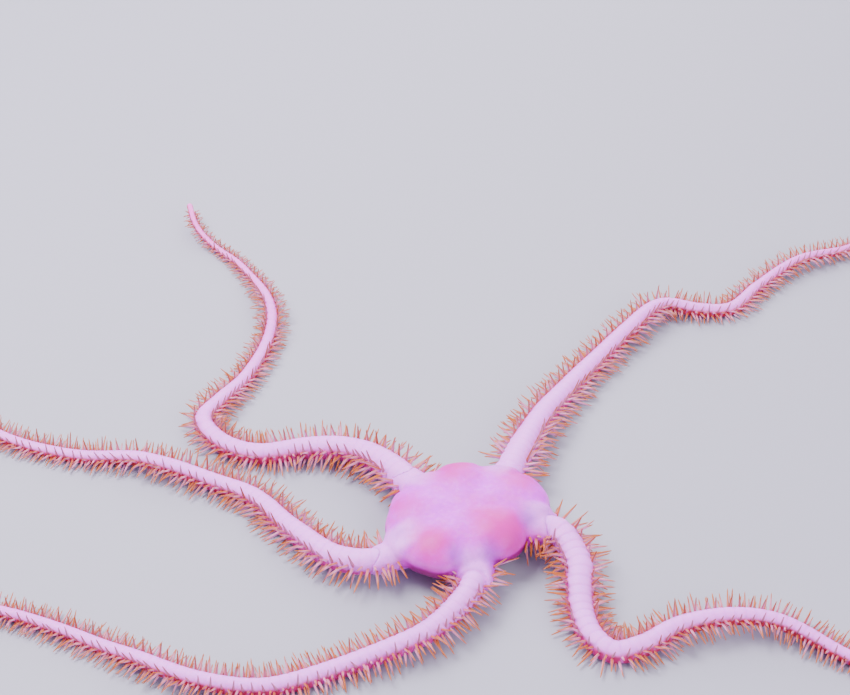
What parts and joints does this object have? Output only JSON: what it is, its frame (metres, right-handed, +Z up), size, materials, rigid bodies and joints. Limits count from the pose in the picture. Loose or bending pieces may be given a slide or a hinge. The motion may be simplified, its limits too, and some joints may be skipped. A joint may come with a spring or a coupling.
{
  "type": "brittle star",
  "caption": "Brittle star resting on the floor: a soft lobed disc carried on long, tapering, winding arms that are fringed with short spines.",
  "frame": {"origin": "on the floor, below the middle of the box round the whole animal", "axes": "+X to the right across the widest spread of the arms, +Y away from the viewer, +Z up out of the floor"},
  "size_m": [0.2764, 0.162, 0.0096],
  "materials": {
    "disc_skin": "soft pink and lavender skin, slightly moist",
    "arm_skin": "pale lavender back plates, pink to orange-red sides and pale spines with tan tips",
    "jaw_plate": "pale chalky plate"
  },
  "bodies": {
    "root": {"disc": "disc_skin", "jaw_1": "jaw_plate", "jaw_2": "jaw_plate", "jaw_3": "jaw_plate", "jaw_4": "jaw_plate", "jaw_5": "jaw_plate", "arm_far_right_1": "arm_skin", "arm_far_right_2": "arm_skin", "arm_far_right_3": "arm_skin", "arm_far_right_4": "arm_skin", "arm_far_right_5": "arm_skin", "arm_far_left_1": "arm_skin", "arm_far_left_2": "arm_skin", "arm_far_left_3": "arm_skin", "arm_far_left_4": "arm_skin", "arm_far_left_5": "arm_skin", "arm_left_1": "arm_skin", "arm_left_2": "arm_skin", "arm_left_3": "arm_skin", "arm_left_4": "arm_skin", "arm_left_5": "arm_skin", "arm_near_1": "arm_skin", "arm_near_2": "arm_skin", "arm_near_3": "arm_skin", "arm_near_4": "arm_skin", "arm_near_5": "arm_skin", "arm_right_1": "arm_skin", "arm_right_2": "arm_skin", "arm_right_3": "arm_skin", "arm_right_4": "arm_skin", "arm_right_5": "arm_skin"}
  },
  "joints": []
}
